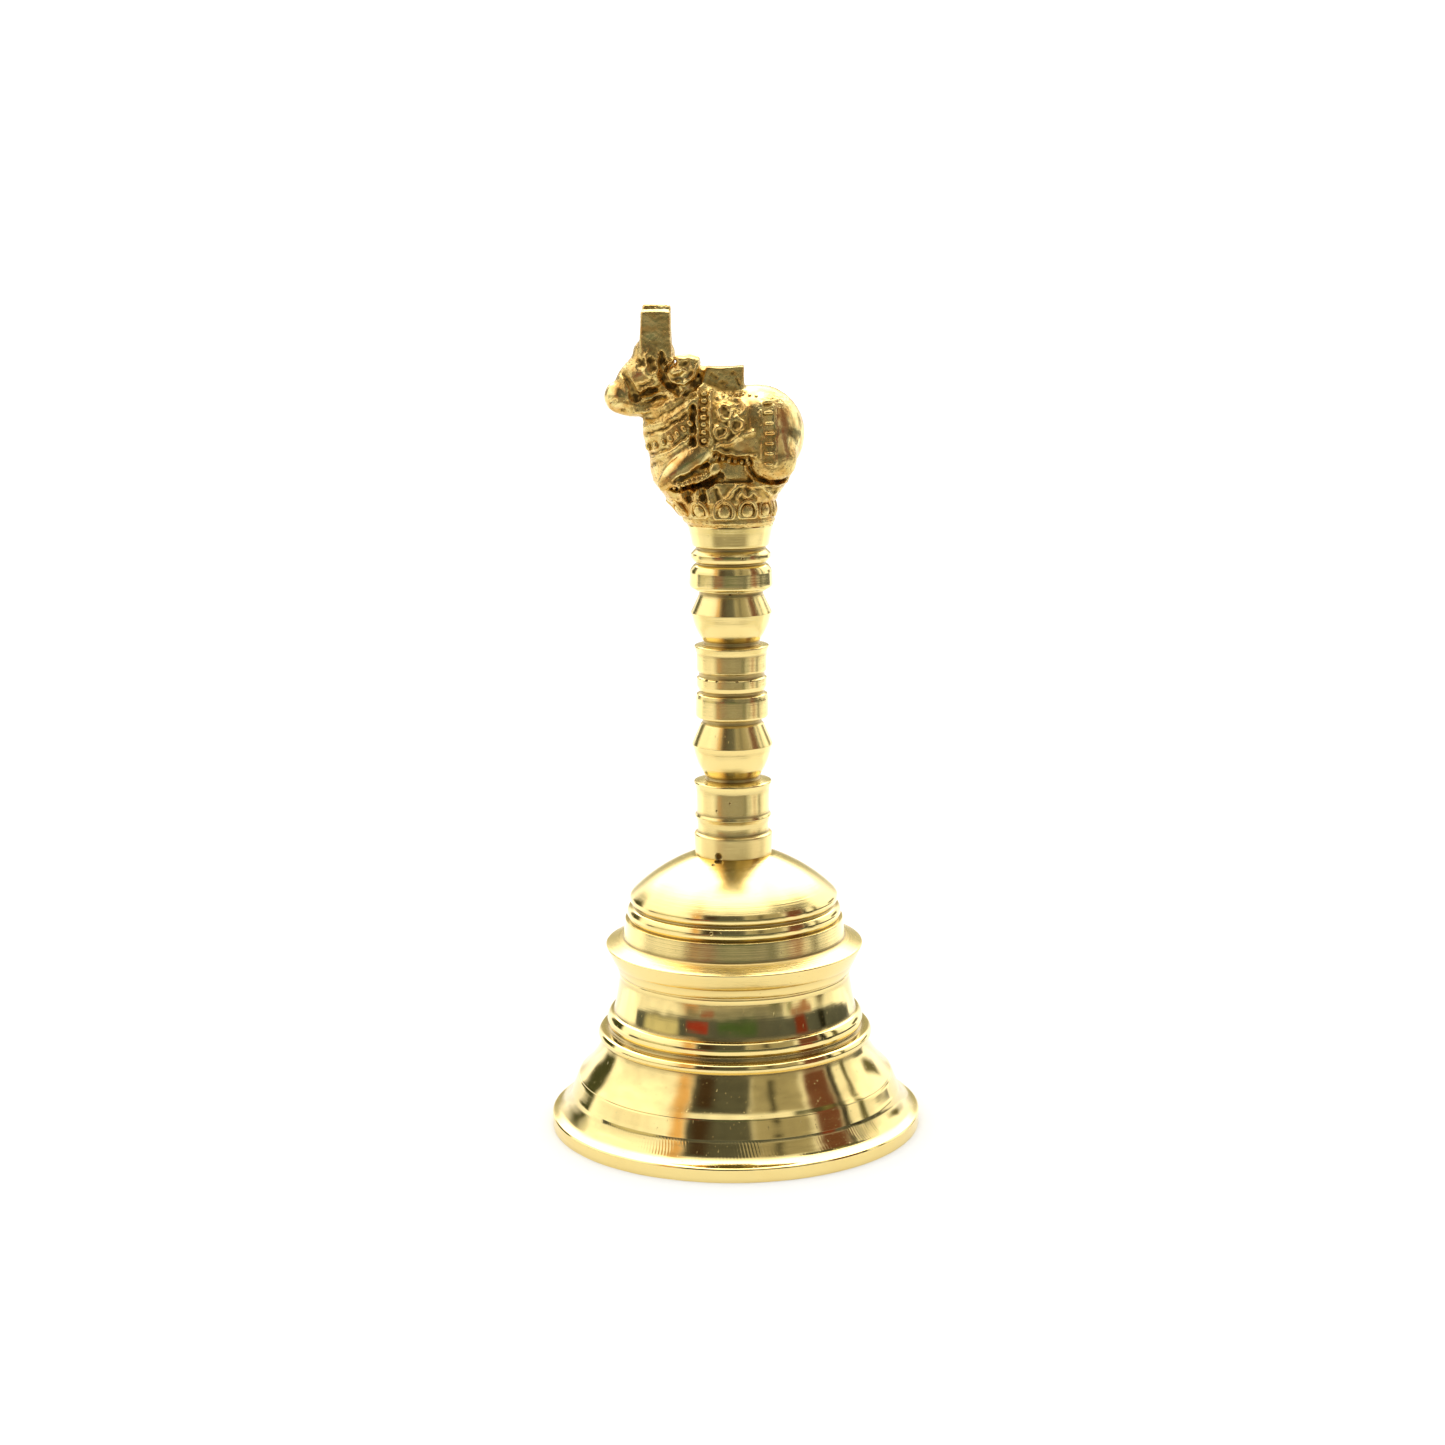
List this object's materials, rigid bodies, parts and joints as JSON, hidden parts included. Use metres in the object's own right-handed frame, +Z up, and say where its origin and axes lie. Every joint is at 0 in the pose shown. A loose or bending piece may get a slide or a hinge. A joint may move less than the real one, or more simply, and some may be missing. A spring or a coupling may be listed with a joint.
{
  "type": "brass hand bell",
  "caption": "Flared brass hand bell with a turned baluster grip, a seated bull finial on a lotus plinth, and a ball clapper hung on a link inside.",
  "frame": {"origin": "on the bell's axis, in the plane that the rim stands on", "axes": "+Z up the bell's axis from the rim to the finial; -X is the way the bull faces"},
  "size_m": [0.073, 0.073, 0.1607],
  "materials": {
    "turned_brass": "turned and polished",
    "cast_brass": "sand cast, polished on the high places",
    "clapper_brass": "turned, left dull",
    "steel_hardware": "zinc plated"
  },
  "bodies": {
    "bell": {"bell_shell": "turned_brass", "turned_grip": "turned_brass", "bull_finial": "cast_brass", "finial_stud": "steel_hardware", "hanger_eye_bolt": "steel_hardware", "crown_washer": "steel_hardware", "lock_nut": "steel_hardware"},
    "link": {"clapper_link": "steel_hardware"},
    "clapper": {"clapper_rod": "clapper_brass", "clapper_ball": "clapper_brass"}
  },
  "joints": [
    {"name": "link_swing", "type": "hinge", "parent": "bell", "child": "link", "pos_m": [0, 0, 0.0393], "axis": [1, 0, 0], "range_deg": [-15, 15]},
    {"name": "clapper_swing", "type": "hinge", "parent": "link", "child": "clapper", "pos_m": [0, 0, 0.0345], "axis": [0, 1, 0], "range_deg": [-38, 38]}
  ]
}
